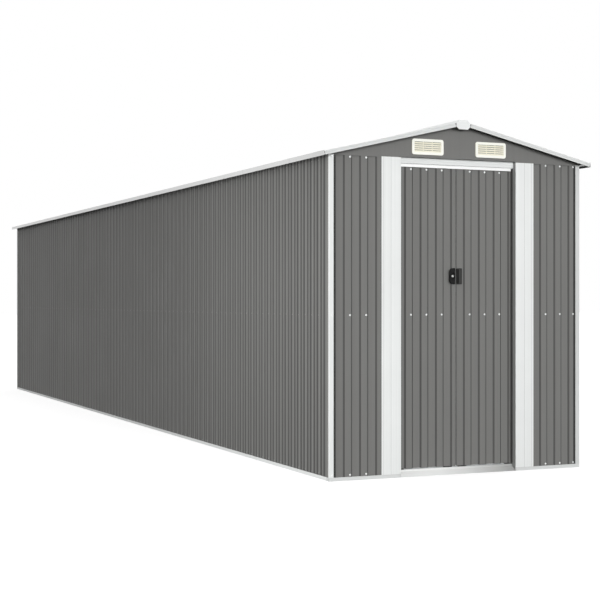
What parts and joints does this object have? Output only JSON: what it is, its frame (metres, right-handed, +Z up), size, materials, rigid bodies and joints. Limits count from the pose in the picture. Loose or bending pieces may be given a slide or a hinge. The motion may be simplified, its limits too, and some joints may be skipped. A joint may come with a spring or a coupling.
{
  "type": "metal storage shed",
  "caption": "Long narrow sheet-metal storage shed with ribbed grey walls, white trims, a low gable roof, louvred gable vents and sliding doors in one end.",
  "frame": {"origin": "on the ground, midway along and across the shed", "axes": "+Z up, +Y along the shed away from the doors, +X to the right of someone facing the doors"},
  "size_m": [1.92, 9.38, 2.23],
  "materials": {
    "grey_coated_sheet": "satin grey coil coating on thin ribbed steel",
    "white_coated_steel": "satin white coil coating on folded steel",
    "galvanised_steel": "bare galvanised steel with a soft spangle",
    "cream_plastic": "moulded cream plastic",
    "black_plastic": "moulded black plastic"
  },
  "bodies": {
    "shed": {"front_base_rail": "white_coated_steel", "back_base_rail": "white_coated_steel", "left_base_rail": "white_coated_steel", "right_base_rail": "white_coated_steel", "door_sill": "white_coated_steel", "lower_track": "galvanised_steel", "left_wall": "grey_coated_sheet", "right_wall": "grey_coated_sheet", "back_wall": "grey_coated_sheet", "front_wall_left": "grey_coated_sheet", "front_wall_right": "grey_coated_sheet", "front_gable": "grey_coated_sheet", "back_gable": "grey_coated_sheet", "front_left_corner_trim": "white_coated_steel", "front_right_corner_trim": "white_coated_steel", "back_left_corner_trim": "white_coated_steel", "back_right_corner_trim": "white_coated_steel", "left_door_jamb": "white_coated_steel", "right_door_jamb": "white_coated_steel", "door_header": "white_coated_steel", "upper_track": "white_coated_steel", "left_top_rail": "galvanised_steel", "right_top_rail": "galvanised_steel", "front_top_rail": "galvanised_steel", "back_top_rail": "galvanised_steel", "left_mid_rail": "galvanised_steel", "right_mid_rail": "galvanised_steel", "front_mid_rails": "galvanised_steel", "back_mid_rail": "galvanised_steel", "roof_left": "grey_coated_sheet", "roof_right": "grey_coated_sheet", "ridge_cap": "white_coated_steel", "front_verge_trim": "white_coated_steel", "back_verge_trim": "white_coated_steel", "left_eave_trim": "white_coated_steel", "right_eave_trim": "white_coated_steel", "roof_beams": "galvanised_steel", "front_vents": "cream_plastic", "back_vents": "cream_plastic"},
    "left_door": {"left_door_panel": "grey_coated_sheet", "left_door_frame": "galvanised_steel", "left_door_glides": "black_plastic", "left_door_handle": "black_plastic"},
    "right_door": {"right_door_panel": "grey_coated_sheet", "right_door_frame": "galvanised_steel", "right_door_glides": "black_plastic", "right_door_handle": "black_plastic"}
  },
  "joints": [
    {"name": "left_door_slide", "type": "slide", "parent": "shed", "child": "left_door", "axis": [-1, 0, 0], "range_m": [0, 0.352]},
    {"name": "right_door_slide", "type": "slide", "parent": "shed", "child": "right_door", "axis": [1, 0, 0], "range_m": [0, 0.352]}
  ]
}
